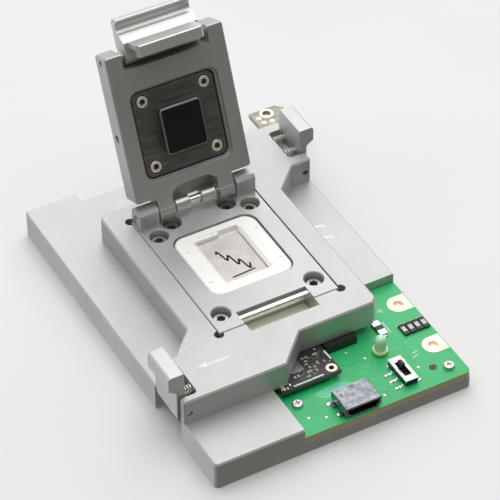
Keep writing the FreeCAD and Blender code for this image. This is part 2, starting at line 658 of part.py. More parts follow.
def nest():
    upper = rounded_box(-NEST_HALF_W, NEST_HALF_W, NEST_Y - NEST_HALF_L, NEST_Y + NEST_HALF_L,
                        NEST_FLANGE_Z0, NEST_TOP, NEST_CORNER)
    upper = break_top(upper, NEST_TOP, 0.25)
    half_w = NEST_HALF_W + NEST_FLANGE
    half_l = NEST_HALF_L + NEST_FLANGE
    flange = rounded_box(-half_w, half_w, NEST_Y - half_l, NEST_Y + half_l, NEST_FLANGE_Z0, NEST_FLANGE_Z1, NEST_CORNER)
    body = fuse_all([upper, flange])
    w = CHIP_HALF_W + 0.15
    h = CHIP_HALF_L + 0.15
    seat = box(-w, w, NEST_Y - h, NEST_Y + h, NEST_SEAT_Z, NEST_TOP + 1)
    lead_in = [(-w - 0.6, NEST_TOP + 0.01), (w + 0.6, NEST_TOP + 0.01), (w, NEST_TOP - 0.5), (-w, NEST_TOP - 0.5)]
    lead_in = prism_y(lead_in, NEST_Y - h, NEST_Y + h)
    hollow = box(-4.7, 4.7, NEST_Y - 6.7, NEST_Y + 6.7, NEST_FLANGE_Z0 - 1, NEST_FLOOR_Z0)
    relief = box(0.4, w + 0.1, NEST_Y + h - 0.1, NEST_Y + h + 0.8, NEST_SEAT_Z + 0.2, NEST_TOP + 1)
    groove = box(-3.8, -0.4, NEST_Y + h + 0.35, NEST_Y + h + 0.95, NEST_TOP - 0.2, NEST_TOP + 1)
    body = cut_all(body, [seat, lead_in, hollow, relief, groove])
    for x, y in NEST_SPRING_SPOTS:
        body = body.cut(rod(1.1, (x, NEST_Y + y, NEST_FLANGE_Z0 - 1), (x, NEST_Y + y, NEST_SPRING_TOP)))
    for x in (-7.6, 7.6):
        for y in (NEST_Y - 5.3, NEST_Y + 4.4):
            body = body.cut(rod(0.45, (x, y, NEST_TOP - 0.15), (x, y, NEST_TOP + 1)))
    return body


def nest_springs():
    z = POCKET_FLOOR
    length = NEST_SPRING_TOP - POCKET_FLOOR
    return [coil(0.75, 0.12, length, 4, (x, NEST_Y + y, z), (0, 0, 1)) for x, y in NEST_SPRING_SPOTS]


def chip():
    w = CHIP_HALF_W
    h = CHIP_HALF_L
    body = box(-w, w, NEST_Y - h, NEST_Y + h, NEST_SEAT_Z, NEST_SEAT_Z + CHIP_T)
    return break_top(body, NEST_SEAT_Z + CHIP_T, 0.1)


def contact_block():
    lower = box(-4.9, 4.9, NEST_Y - 6.9, NEST_Y + 6.9, BASE_T, POCKET_FLOOR)
    upper = box(-4.3, 4.3, NEST_Y - 6.3, NEST_Y + 6.3, BASE_T, NEST_FLOOR_Z0 - 0.6)
    return fuse_all([lower, upper])


def catch_rod():
    return rod(ROD_R, (-ROD_HALF, ROD_Y, ROD_Z), (ROD_HALF, ROD_Y, ROD_Z))


def hinge_pin():
    return rod(HINGE_PIN_R, (-KNUCKLE_X1 + 0.3, HINGE_Y, HINGE_Z), (KNUCKLE_X1 - 0.3, HINGE_Y, HINGE_Z))


def hinge_sleeves():
    sleeve = rod(SLEEVE_R, (SLEEVE_X0, HINGE_Y, HINGE_Z), (SLEEVE_X1, HINGE_Y, HINGE_Z))
    sleeve = sleeve.makeChamfer(0.15, sleeve.Edges[:1] + sleeve.Edges[2:3])
    bore = rod(HINGE_PIN_R + FIT, (0, HINGE_Y, HINGE_Z), (20, HINGE_Y, HINGE_Z))
    return both_sides(sleeve.cut(bore))


# ---------------------------------------------------------------- lid
def lid_frame():
    plate = lid_box(-LID_HALF_W, LID_HALF_W, LID_V0, LID_V1, LID_W0, LID_W1)
    plate = plate.makeFillet(0.6, [e for e in plate.Edges if is_vertical(e)])
    plate = break_top(plate, HINGE_Z + LID_W1, EDGE)
    plate = break_top(plate, HINGE_Z + LID_W0, 0.2)
    profile = [(0, LID_W0), (LID_V0 + 1, LID_W0), (LID_V0 + 1, LID_W1 - 0.4), (LID_V0, LID_W1 - 0.4), (0.6, LUG_R - 0.1),
               (0, LUG_R - 0.1)]
    barrel = rod(LUG_R, (LUG_X0, HINGE_Y, HINGE_Z), (LUG_X1, HINGE_Y, HINGE_Z))
    lug = fuse_all([lid_profile(profile, LUG_X0, LUG_X1), barrel])
    web = lid_box(-LUG_X0 - 0.5, LUG_X0 + 0.5, 0.6, LID_V0 + 1, ARCH_WEB[0], ARCH_WEB[1])
    frame = fuse_all([plate, web] + both_sides(lug))
    arch = lid_box(-LUG_X0, LUG_X0, -3, ARCH_V1, LID_W0 - 1, ARCH_WEB[0])
    low = HINGE_Y - ARCH_V1 + 0.01
    arch = arch.makeFillet(ARCH_R, [e for e in arch.Edges if is_vertical(e) and e.Vertexes[0].Y < low])
    notch = lid_box(-NOTCH_HALF, NOTCH_HALF, NOTCH_ROOF_V1, LID_V1 + 1, LID_W0 - 1, LID_W1 + 1)
    under_roof = lid_box(-NOTCH_HALF, NOTCH_HALF, NOTCH_V0, NOTCH_ROOF_V1 + 0.1, LID_W0 - 1, NOTCH_ROOF_W0)
    half_w = PRESS_RECESS_HALF_W
    half_l = PRESS_RECESS_HALF_L
    ledge = lid_rounded(half_w, half_l, LID_W0 - 1, LID_W0 + PRESS_LEDGE_DEPTH, 2.2)
    recess = lid_rounded(half_w - PRESS_LEDGE, half_l - PRESS_LEDGE, LID_W0 - 1, PRESS_RECESS_W, 1.75)
    hinge_bore = rod(HINGE_PIN_R + RUN, (-20, HINGE_Y, HINGE_Z), (20, HINGE_Y, HINGE_Z))
    y = HINGE_Y - LATCH_PIN_V
    z = HINGE_Z + LATCH_PIN_W
    latch_bore = rod(LATCH_PIN_R + FIT, (-20, y, z), (20, y, z))
    frame = cut_all(frame, [arch, notch, under_roof, ledge, recess, hinge_bore, latch_bore])
    for x, y in press_screw_spots():
        frame = frame.cut(rod(0.5 + FIT, (x, y, HINGE_Z), (x, y, HINGE_Z + 2.6)))
    for side in (-1, 1):
        x = side * LID_HALF_W
        y = HINGE_Y - 16.6
        frame = frame.cut(rod(0.8 + FIT, (x, y, HINGE_Z + 0.9), (x - side * 2.2, y, HINGE_Z + 0.9)))
    return frame


def press_screw_spots():
    y = HINGE_Y - PRESS_V
    return [(sx * PRESS_SCREW, y + sy * PRESS_SCREW) for sx in (-1, 1) for sy in (-1, 1)]


def press_screws():
    low, high = PRESS_SCREW_HEAD
    screws = []
    for x, y in press_screw_spots():
        head = rod(1.2, (x, y, HINGE_Z + low), (x, y, HINGE_Z + high))
        head = head.makeFillet(0.15, [e for e in head.Edges if at_height(e, HINGE_Z + low)])
        shank = rod(0.5, (x, y, HINGE_Z + high - 0.1), (x, y, HINGE_Z + 2.4))
        screws.append(fuse_all([head, shank]).cut(hex_socket(x, y, HINGE_Z + low - 1, HINGE_Z + low + 0.45, 1.15)))
    return screws


def set_screws():
    screws = []
    for side in (-1, 1):
        x = side * (LID_HALF_W - 0.4)
        y = HINGE_Y - 16.6
        screws.append(rod(0.8, (x, y, HINGE_Z + 0.9), (x - side * 1.6, y, HINGE_Z + 0.9)))
    return screws


def pressure_plate():
    face = LID_W0 + PRESS_FACE_DEPTH
    half_w = PRESS_RECESS_HALF_W - PRESS_LEDGE - 0.3
    half_l = PRESS_RECESS_HALF_L - PRESS_LEDGE - 0.3
    plate = lid_rounded(half_w, half_l, face, face + PRESS_PLATE_T, 1.45)
    plate = break_top(plate, HINGE_Z + face, 0.2)
    boss = lid_rounded(PAD_HALF_W + 0.3, PAD_HALF_L + 0.3, PRESS_BOSS_W, face + 0.5, 0.9)
    boss = break_top(boss, HINGE_Z + PRESS_BOSS_W, 0.2)
    body = fuse_all([plate, boss])
    for x, y in press_screw_spots():
        body = body.cut(rod(1.5, (x, y, HINGE_Z + face - 1), (x, y, HINGE_Z + PRESS_SCREW_HEAD[1] + FIT)))
        body = body.cut(rod(0.8, (x, y, HINGE_Z - 3), (x, y, HINGE_Z + 3)))
    return body.cut(lid_rounded(PAD_HALF_W + FIT, PAD_HALF_L + FIT, PRESS_BOSS_W - 1, PRESS_BOSS_W + 0.9, 0.6))


def pusher_pad():
    pad = lid_rounded(PAD_HALF_W, PAD_HALF_L, PAD_W, PRESS_BOSS_W + 0.88, 0.6)
    return break_top(pad, HINGE_Z + PAD_W, 0.1)


def press_springs():
    z = HINGE_Z + LID_W0 + PRESS_FACE_DEPTH + PRESS_PLATE_T
    length = HINGE_Z + PRESS_RECESS_W - z
    return [coil(0.85, 0.1, length, 3, (x, y, z), (0, 0, 1)) for x, y in press_screw_spots()]


# ---------------------------------------------------------------- latch
def latch_outline(steps, x):
    """A closed outline across x. A step is one point for a line, or two, the middle and end of an arc."""
    def place(point):
        return V(x, HINGE_Y - point[0], HINGE_Z + point[1])
    edges = []
    here = steps[-1][-1]
    for step in steps:
        if len(step) == 1:
            edges.append(Part.makeLine(place(here), place(step[0])))
        else:
            edges.append(Part.Arc(place(here), place(step[0]), place(step[1])).toShape())
        here = step[-1]
    return Part.Face(Part.Wire(edges))


def latch_foot():
    profile = [(LATCH_PIN_V + 3.0, -0.7), (LATCH_PIN_V + 3.0, -5.2), (LATCH_PIN_V + 2.8, -5.4), (LATCH_PIN_V + 0.7, -5.4),
               (LATCH_PIN_V + 0.7, -4.35), (LATCH_PIN_V + 2.0, -4.35), (LATCH_PIN_V + 2.0, -0.7)]
    half = LATCH_FOOT_HALF_W
    foot = lid_profile(profile, -half, half)
    tip = HINGE_Z - 5.4
    ends = [e for e in foot.Edges if at_height(e, tip) and e.BoundBox.XLength < 1e-6]
    return foot.makeChamfer(LATCH_FOOT_EDGE, ends)


def latch():
    top = [[(34.35, 3.3)], [(38.45, 3.3)], [(39.2, 3.0), (39.55, 2.2)], [(39.55, 1.0)], [(39.3, 0.55), (38.9, 0.85)],
           [(37.6, 1.55), (36.5, 0.6)], [(36.1, 0.05)], [(35.65, -0.45), (35.15, -1.15)], [(33.9, -1.15)], [(33.9, -0.95)],
           [(32.15, -1.0)], [(32.15, 2.7)]]
    finger = latch_outline(top, -LATCH_HALF_W).extrude(V(2 * LATCH_HALF_W, 0, 0))
    finger = finger.makeFillet(0.2, [e for e in finger.Edges if at_height(e, HINGE_Z + 3.3) and e.BoundBox.XLength < 1e-6])
    y = HINGE_Y - LATCH_PIN_V
    z = HINGE_Z + LATCH_PIN_W
    eye = rod(1.7, (-LATCH_HALF_W, y, z), (LATCH_HALF_W, y, z))
    bore = rod(LATCH_PIN_R + RUN, (-20, y, z), (20, y, z))
    return fuse_all([finger, latch_foot(), eye]).cut(bore)


def latch_pin():
    y = HINGE_Y - LATCH_PIN_V
    z = HINGE_Z + LATCH_PIN_W
    return rod(LATCH_PIN_R, (-LID_HALF_W + 0.3, y, z), (LID_HALF_W - 0.3, y, z))


def latch_spring():
    y = HINGE_Y - LATCH_PIN_V
    z = HINGE_Z + LATCH_PIN_W
    return coil(0.95, 0.14, 1.15, 3, (-NOTCH_HALF + 0.08, y, z), (1, 0, 0))


# ---------------------------------------------------------------- write every piece
def main():
    os.makedirs("parts", exist_ok=True)
    save("base_plate", base_plate())
    save("main_board", main_board())
    save("board_screws", *[board_screw(x, y) for x, y in BOARD_SCREWS])
    save("power_pads", *[power_pad(x, y) for x, y in POWER_PADS])
    save("usb_shell", usb_shell())
    save("usb_tongue", usb_tongue())
    save("usb_contacts", *usb_contacts())
    save("switch_body", switch_body())
    save("switch_cover", switch_cover())
    save("switch_leads", *switch_leads())
    save("switch_knob", switch_knob())
    save("led", led())
    save("led_leads", *led_leads())
    bodies, caps = board_passives()
    save("chip_resistors", *bodies)
    save("chip_end_caps", *caps)
    save("daughter_board", daughter_board())
    save("daughter_pads", *daughter_pads())
    save("daughter_chip", daughter_chip())
    save("daughter_parts", *daughter_parts())
    save("daughter_posts", *daughter_posts())
    save("board_connector", board_connector())
    save("rear_tab_board", rear_tab_board())
    save("rear_tab_pads", *rear_tab_pads())
    save("carrier_plate", carrier_plate())
    left_pin = lever_pin()
    save("lever_pins", left_pin, half_turn(left_pin))
    left = lever()
    save("lever_left", left)
    save("lever_right", half_turn(left))
    springs = lever_springs()
    save("lever_springs_left", *springs)
    save("lever_springs_right", *[half_turn(s) for s in springs])
    save("socket_insert", socket_insert())
    save("insert_screws", *[insert_screw(x, y) for x, y in INSERT_SCREWS])
    save("contact_block", contact_block())
    save("nest", nest())
    save("nest_springs", *nest_springs())
    save("chip", chip())
    save("catch_rod", catch_rod())
    save("hinge_pin", hinge_pin())
    save("hinge_sleeves", *hinge_sleeves())
    save("lid_frame", open_lid(lid_frame()))
    save("press_screws", *[open_lid(s) for s in press_screws()])
    save("set_screws", *[open_lid(s) for s in set_screws()])
    save("pressure_plate", open_lid(pressure_plate()))
    save("pusher_pad", open_lid(pusher_pad()))
    save("press_springs", *[open_lid(s) for s in press_springs()])
    save("latch", open_lid(latch()))
    save("latch_pin", open_lid(latch_pin()))
    save("latch_spring", open_lid(latch_spring()))


main()
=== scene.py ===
import json
import math
import random

import bmesh
import bpy
from mathutils import Matrix, Vector


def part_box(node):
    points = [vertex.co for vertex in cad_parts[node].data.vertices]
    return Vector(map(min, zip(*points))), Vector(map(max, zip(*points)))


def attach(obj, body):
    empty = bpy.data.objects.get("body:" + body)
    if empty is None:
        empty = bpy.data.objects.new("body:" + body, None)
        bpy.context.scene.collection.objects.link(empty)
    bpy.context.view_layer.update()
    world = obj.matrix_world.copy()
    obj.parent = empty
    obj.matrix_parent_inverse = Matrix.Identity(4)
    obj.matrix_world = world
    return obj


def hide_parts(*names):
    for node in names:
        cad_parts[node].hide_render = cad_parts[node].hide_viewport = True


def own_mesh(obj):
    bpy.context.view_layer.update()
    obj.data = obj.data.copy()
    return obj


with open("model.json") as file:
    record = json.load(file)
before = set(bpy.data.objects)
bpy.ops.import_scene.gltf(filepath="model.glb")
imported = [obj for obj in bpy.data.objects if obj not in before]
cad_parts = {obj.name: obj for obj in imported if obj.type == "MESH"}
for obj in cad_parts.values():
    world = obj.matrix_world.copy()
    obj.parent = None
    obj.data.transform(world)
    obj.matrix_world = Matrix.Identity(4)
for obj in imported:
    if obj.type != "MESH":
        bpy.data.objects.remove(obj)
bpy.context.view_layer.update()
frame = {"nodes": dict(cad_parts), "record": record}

# Looks of a clamshell programming jig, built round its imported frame. Metres; MM turns millimetres into them.
nodes = frame["nodes"]
MM = 0.001
FILM = 0.012                    # thickness of printed and marked films, in millimetres
EDGE_WEAR_AND_HIGHLIGHT = 0.35                # how bright the edges of the blasted metal are: partly wear, partly a painted highlight


# ---------------------------------------------------------------- camera
def add_camera():
    data = bpy.data.cameras.new("camera")
    data.sensor_width = 36
    data.lens = 189.6
    data.clip_start = 0.02
    data.clip_end = 20
    right = Vector((0.875906, -0.482426, -0.007369))
    up = Vector((0.325499, 0.579572, 0.747092))
    back = Vector((-0.356145, -0.656781, 0.664680))
    camera = bpy.data.objects.new("camera", data)
    turn = Matrix((right, up, back)).transposed().to_4x4()
    camera.matrix_world = Matrix.Translation((-0.178707, -0.333294, 0.351444)) @ turn
    bpy.context.scene.collection.objects.link(camera)
    bpy.context.scene.camera = camera


add_camera()


# ---------------------------------------------------------------- material helper
class Surface:
    """A principled material and short calls for its texture nodes. Sizes are in millimetres."""

    def __init__(self, name, **values):
        self.material = bpy.data.materials.new(name)
        self.material.use_nodes = True
        self.tree = self.material.node_tree
        self.shader = self.tree.nodes["Principled BSDF"]
        self.coords = self.node("ShaderNodeTexCoord").outputs["Object"]
        for socket, value in values.items():
            self.put(socket.replace("_", " ").title().replace("Ior", "IOR"), value)

    def node(self, kind, **settings):
        made = self.tree.nodes.new(kind)
        for key, value in settings.items():
            setattr(made, key, value)
        return made

    def feed(self, socket, value):
        if isinstance(value, bpy.types.NodeSocket):
            self.tree.links.new(value, socket)
        elif isinstance(value, (tuple, list)) and len(value) == 3 and socket.type == "RGBA":
            socket.default_value = (*value, 1)
        else:
            socket.default_value = value

    def put(self, name, value):
        self.feed(self.shader.inputs[name], value)

    def place(self, size, stretch=(1, 1, 1)):
        made = self.node("ShaderNodeMapping")
        self.feed(made.inputs["Vector"], self.coords)
        made.inputs["Scale"].default_value = [s / (size * MM) for s in stretch]
        return made.outputs["Vector"]

    def noise(self, size, detail=2, stretch=(1, 1, 1)):
        made = self.node("ShaderNodeTexNoise")
        self.feed(made.inputs["Vector"], self.place(size, stretch))
        made.inputs["Scale"].default_value = 1
        made.inputs["Detail"].default_value = detail
        return made.outputs["Fac"]

    def cells(self, size, feature="F1", stretch=(1, 1, 1)):
        made = self.node("ShaderNodeTexVoronoi", feature=feature)
        self.feed(made.inputs["Vector"], self.place(size, stretch))
        made.inputs["Scale"].default_value = 1
        return made.outputs

    def span(self, value, low, high, start=0.3, end=0.7):
        made = self.node("ShaderNodeMapRange")
        numbers = {"Value": value, "From Min": start, "From Max": end, "To Min": low, "To Max": high}
        for key, number in numbers.items():
            self.feed(made.inputs[key], number)
        return made.outputs["Result"]

    def mix(self, amount, a, b):
        made = self.node("ShaderNodeMix", data_type="RGBA")
        self.feed(made.inputs[0], amount)
        self.feed(made.inputs[6], a)
        self.feed(made.inputs[7], b)
        return made.outputs[2]

    def maths(self, operation, a, b=0.0):
        made = self.node("ShaderNodeMath", operation=operation)
        self.feed(made.inputs[0], a)
        self.feed(made.inputs[1], b)
        return made.outputs[0]

    def bump(self, height, depth, under=None):
        made = self.node("ShaderNodeBump")
        made.inputs["Distance"].default_value = depth * MM
        self.feed(made.inputs["Height"], height)
        if under:
            self.feed(made.inputs["Normal"], under)
        return made.outputs["Normal"]

    def edges(self, width):
        """0 on flat faces, rising to 1 on edges of this width."""
        bevel = self.node("ShaderNodeBevel", samples=4)
        bevel.inputs["Radius"].default_value = width * MM
        face = self.node("ShaderNodeNewGeometry").outputs["Normal"]
        dot = self.node("ShaderNodeVectorMath", operation="DOT_PRODUCT")
        self.feed(dot.inputs[0], bevel.outputs["Normal"])
        self.feed(dot.inputs[1], face)
        return self.span(dot.outputs["Value"], 1, 0, 0.75, 0.99)

    def facing_up(self):
        """1 on level faces, 0 on upright ones."""
        parts = self.node("ShaderNodeSeparateXYZ")
        self.feed(parts.inputs[0], self.node("ShaderNodeNewGeometry").outputs["Normal"])
        return self.span(self.maths("ABSOLUTE", parts.outputs["Z"]), 0, 1, 0.4, 0.6)


def shade(color, factor):
    return tuple(min(c * factor, 1) for c in color)


# ---------------------------------------------------------------- materials
def blasted(name, tint, roughness=0.46):
    """Bead-blasted, anodised aluminium with edges lightened as wear and as a painted highlight."""
    s = Surface(name, metallic=0.7)
    cloud = s.noise(11, 3)
    grain = s.noise(0.3, 2)
    drag = s.noise(0.9, 2, (1, 0.12, 1))
    color = s.mix(s.span(cloud, 0, 1), shade(tint, 0.95), shade(tint, 1.05))
    color = s.mix(s.span(grain, 0, 0.3), color, shade(tint, 0.8))
    # Edge lightening: partly wear, partly a painted highlight.
    color = s.mix(s.maths("MULTIPLY", s.edges(0.18), EDGE_WEAR_AND_HIGHLIGHT), color, shade(tint, 1.5))
    s.put("Base Color", color)
    both = s.maths("ADD", grain, s.maths("MULTIPLY", drag, 0.4))
    s.put("Roughness", s.span(both, roughness - 0.05, roughness + 0.07, 0.4, 1.0))
    s.put("Normal", s.bump(grain, 0.006, s.bump(cloud, 0.02)))
    return s.material


def steel(name, tint, roughness=0.25, along=(1, 1, 1), mottle=0.15, size=0.8, depth=0.008):
    """Bright or plated steel, drawn or ground along an axis."""
    s = Surface(name, metallic=1.0)
    lines = s.noise(size, 3, along)
    spots = s.noise(0.5, 2)
    s.put("Base Color", s.mix(s.span(lines, 0, 1), shade(tint, 1 - mottle), shade(tint, 1 + mottle)))
    s.put("Roughness", s.span(spots, roughness - 0.06, roughness + 0.1))
    s.put("Normal", s.bump(lines, depth))
    return s.material


def moulded(name, tint, roughness=0.45, grain=0.12, **values):
    """Moulded plastic with a fine spark-eroded grain."""
    s = Surface(name, **values)
    fine = s.noise(grain, 2)
    cloud = s.noise(2.5, 2)
    s.put("Base Color", s.mix(s.span(cloud, 0, 1), shade(tint, 0.88), shade(tint, 1.12)))
    s.put("Roughness", s.span(fine, roughness - 0.07, roughness + 0.08))
    s.put("Normal", s.bump(fine, 0.004))
    return s.material


def green_mask():
    """Solder mask over copper and glass-epoxy, with the bare laminate on its edges."""
    s = Surface("green_mask", coat_weight=0.35, coat_roughness=0.2, roughness=0.42)
    cloud = s.noise(9, 2)
    weave = s.cells(0.55, stretch=(1, 1, 0.01))["Distance"]
    mask = s.mix(s.span(cloud, 0, 1), (0.012, 0.40, 0.115), (0.022, 0.52, 0.17))
    mask = s.mix(s.span(weave, 0, 0.12, 0, 0.8), mask, (0.004, 0.28, 0.07))
    strands = s.noise(0.35, 2, (0.15, 0.15, 1))
    laminate = s.mix(s.span(strands, 0, 1), (0.62, 0.54, 0.30), (0.42, 0.46, 0.22))
    s.put("Base Color", s.mix(s.facing_up(), laminate, mask))
    s.put("Normal", s.bump(weave, 0.004, s.bump(cloud, 0.02)))
    return s.material


def black_mask():
    s = Surface("black_mask", coat_weight=0.3, coat_roughness=0.2, roughness=0.42)
    copper = s.cells(0.9, "DISTANCE_TO_EDGE", (1, 1, 0.01))["Distance"]
    mask = s.mix(s.span(copper, 1, 0, 0.02, 0.09), (0.010, 0.010, 0.012), (0.035, 0.034, 0.038))
    strands = s.noise(0.35, 2, (0.15, 0.15, 1))
    laminate = s.mix(s.span(strands, 0, 1), (0.05, 0.045, 0.035), (0.11, 0.10, 0.075))
    s.put("Base Color", s.mix(s.facing_up(), laminate, mask))
    s.put("Normal", s.bump(s.span(copper, 1, 0, 0.02, 0.09), 0.008))
    return s.material


def olive_mask():
    """Thin olive-grey solder mask with the copper pour showing through it."""
    s = Surface("olive_mask", coat_weight=0.25, coat_roughness=0.2, roughness=0.42)
    pour = s.noise(1.4, 2, (1, 1, 0.01))
    weave = s.cells(0.5, stretch=(1, 1, 0.01))["Distance"]
    mask = s.mix(s.span(pour, 0, 1, 0.45, 0.55), (0.32, 0.315, 0.26), (0.43, 0.42, 0.35))
    s.put("Base Color", s.mix(s.span(weave, 0, 0.15, 0, 0.8), mask, (0.21, 0.205, 0.165)))
    s.put("Normal", s.bump(weave, 0.004))
    return s.material


def gold():
    s = Surface("gold", metallic=0.4)
    cloud = s.noise(1.2, 3)
    s.put("Base Color", s.mix(s.span(cloud, 0, 1), (0.96, 0.80, 0.58), (1.0, 0.92, 0.76)))
    s.put("Roughness", s.span(s.noise(0.3), 0.3, 0.45))
    s.put("Normal", s.bump(cloud, 0.01))
    return s.material


def tinned(name, light, dark):
    """Tin-plated sheet, with its mottled bloom, shallow dents and a painted highlight on its edges."""
    s = Surface(name, metallic=1.0)
    bloom = s.cells(0.9, "SMOOTH_F1")["Distance"]
    cloud = s.noise(1.6, 3)
    both = s.maths("ADD", s.maths("MULTIPLY", bloom, 0.5), cloud)
    color = s.mix(s.span(both, 0, 1, 0.5, 0.95), light, dark)
    # Painted highlight: edges lightened towards near-white.
    s.put("Base Color", s.mix(s.edges(0.14), color, (0.88, 0.88, 0.88)))
    s.put("Roughness", s.span(cloud, 0.2, 0.36))
    s.put("Normal", s.bump(s.noise(2.2, 2), 0.06, s.bump(s.noise(0.25), 0.003)))
    return s.material


def clear_green():
    """Milky green-tinted epoxy, yellower towards its foot."""
    s = Surface("clear_green", transmission_weight=0.12, roughness=0.18, ior=1.5, coat_weight=0.3)
    cloud = s.noise(1.2, 2)
    parts = s.node("ShaderNodeSeparateXYZ")
    s.feed(parts.inputs[0], s.coords)
    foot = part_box("led")[0].z
    rise = s.span(parts.outputs["Z"], 0, 1, foot + 0.3 * MM, foot + 2.0 * MM)
    color = s.mix(rise, (0.80, 0.95, 0.40), (0.50, 0.96, 0.66))
    s.put("Base Color", s.mix(s.span(cloud, 0, 0.3), color, (0.90, 1.0, 0.90)))
    s.put("Normal", s.bump(cloud, 0.01))
    return s.material


def machined_white():
    """Machined white acetal, with faint cutter lines and a little light passing into it."""
    s = Surface("machined_white", subsurface_weight=0.05, roughness=0.42)
    s.shader.inputs["Subsurface Radius"].default_value = (0.6 * MM, 0.6 * MM, 0.5 * MM)
    s.shader.inputs["Subsurface Scale"].default_value = 1
    lines = s.noise(0.25, 2, (1, 0.06, 1))
    cloud = s.noise(4, 3)
    s.put("Base Color", s.mix(s.span(cloud, 0, 1), (0.93, 0.93, 0.905), (0.97, 0.97, 0.95)))
    s.put("Normal", s.bump(lines, 0.004, s.bump(cloud, 0.015)))
    return s.material


def chip_top():
    s = Surface("chip_top", roughness=0.5)
    cloud = s.noise(3, 3)
    fine = s.noise(0.15, 2)
    color = s.mix(s.span(cloud, 0, 1), (0.60, 0.545, 0.51), (0.74, 0.71, 0.67))
    s.put("Base Color", s.mix(s.maths("MULTIPLY", s.edges(0.3), 0.4), color, (0.40, 0.37, 0.34)))
    s.put("Normal", s.bump(fine, 0.004))
    return s.material


def ink(name, tint, roughness=0.55):
    """Printed, drawn or laser-marked film, a little uneven; also the dark film of painted shade in the screw
    sockets.
    """
    s = Surface(name)
    cloud = s.noise(0.35, 3)
    s.put("Base Color", s.mix(s.span(cloud, 0, 1), shade(tint, 0.8), shade(tint, 1.08)))
    s.put("Roughness", s.span(cloud, roughness - 0.1, roughness + 0.1))
    s.put("Normal", s.bump(cloud, 0.004))
    return s.material


def dark_plate():
    """Dark anodised plate with the streaks of its cutter."""
    s = Surface("dark_plate", metallic=0.75)
    streaks = s.noise(0.7, 3, (0.15, 1, 1))
    cloud = s.noise(5, 2)
    color = s.mix(s.span(streaks, 0, 1), (0.10, 0.10, 0.097), (0.18, 0.178, 0.17))
    # Painted highlight: a bright rim along the plate's edges.
    color = s.mix(s.edges(0.3), color, (0.52, 0.51, 0.49))
    s.put("Base Color", color)
    s.put("Roughness", s.span(cloud, 0.36, 0.5))
    s.put("Normal", s.bump(streaks, 0.006))
    return s.material


grey = (0.53, 0.53, 0.525)
surfaces = {
    "base_metal": blasted("blasted_base", grey),
    "carrier_metal": blasted("blasted_carrier", grey),
    "insert_metal": blasted("blasted_insert", shade(grey, 1.02), roughness=0.4),
    "lid_metal": blasted("blasted_lid", shade(grey, 0.9), roughness=0.4),
    "latch_metal": blasted("blasted_latch", shade(grey, 1.25), roughness=0.38),
    "lever_metal": blasted("blasted_lever", shade(grey, 1.15)),
    "press_metal": dark_plate(),
    "pad_black": moulded("pad_black", (0.004, 0.004, 0.004), 0.5, specular_ior_level=0.3),
    "green_board": green_mask(),
    "black_board": black_mask(),
    "tab_board": olive_mask(),
    "pad_gold": gold(),
    "plated_steel": tinned("tinned", (0.36, 0.375, 0.395), (0.15, 0.165, 0.185)),
    "screw_steel": steel("bright_screw", (0.66, 0.64, 0.61), 0.3, mottle=0.08),
    "pin_steel": steel("ground_pin", (0.80, 0.79, 0.76), 0.2, (0.1, 1, 1), 0.04, 0.3, 0.0015),
    "spring_steel": steel("spring_wire", (0.74, 0.72, 0.69), 0.22, mottle=0.08, size=0.3),
    "black_plastic": moulded("black_plastic", (0.016, 0.016, 0.017)),
    "led_green": clear_green(),
    "chip_black": moulded("chip_black", (0.018, 0.018, 0.02), 0.38),
    "chip_tan": moulded("chip_tan", (0.40, 0.37, 0.31), 0.35, grain=0.3),
    "nest_white": machined_white(),
    "chip_label": chip_top(),
}
silk = ink("silk_white", (0.86, 0.88, 0.84))
mark = ink("laser_mark", (0.90, 0.90, 0.87))
pen = ink("pen_brown", (0.05, 0.035, 0.035))
trace_green = ink("trace_green", (0.07, 0.62, 0.28), 0.35)
patch_green = ink("patch_green", (0.16, 0.62, 0.37), 0.35)
solder = steel("solder", (0.80, 0.80, 0.77), 0.3, mottle=0.08, size=0.5)
bright = tinned("bright_plate", (0.88, 0.89, 0.89), (0.52, 0.53, 0.54))

for entry in frame["record"]["subparts"]:
    for slot in nodes[entry["node"]].material_slots:
        slot.material = surfaces[entry["material_slot"]]
sleeve = steel("sleeve_satin", (0.60, 0.59, 0.57), 0.4, (0.1, 1, 1), 0.04, 0.3, 0.0015)
cream_screw = steel("press_screw", (0.97, 0.91, 0.80), 0.5, mottle=0.03)
finer = {"switch_cover": bright, "switch_leads": bright, "chip_end_caps": bright, "led_leads": bright,
         "hinge_sleeves": sleeve, "press_screws": cream_screw}
for node, material in finer.items():
    for slot in nodes[node].material_slots:
        slot.material = material


# ---------------------------------------------------------------- small pieces
def piece(name, mesh, material, body="fixture"):
    mesh.materials.append(material)
    made = bpy.data.objects.new(name, mesh)
    bpy.context.scene.collection.objects.link(made)
    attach(made, body)
    return made


def finish_mesh(name, bm, smooth=False):
    bmesh.ops.recalc_face_normals(bm, faces=bm.faces)
    mesh = bpy.data.meshes.new(name)
    bm.to_mesh(mesh)
    bm.free()
    for face in mesh.polygons:
        face.use_smooth = smooth
    return mesh


def add_slab(bm, outline, z0, z1):
    """A closed flat slab over an outline of (x, y) in millimetres."""
    low = [bm.verts.new((x * MM, y * MM, z0 * MM)) for x, y in outline]
    high = [bm.verts.new((x * MM, y * MM, z1 * MM)) for x, y in outline]
    bm.faces.new(low)
    bm.faces.new(high)
    for i in range(len(outline)):
        j = (i + 1) % len(outline)
        bm.faces.new((low[i], low[j], high[j], high[i]))


def rectangle(x0, x1, y0, y1):
    return [(x0, y0), (x1, y0), (x1, y1), (x0, y1)]


def hexagon(x, y, across):
    corner = across / math.sqrt(3)
    return [(x + corner * math.cos(k * math.pi / 3), y + corner * math.sin(k * math.pi / 3)) for k in range(6)]


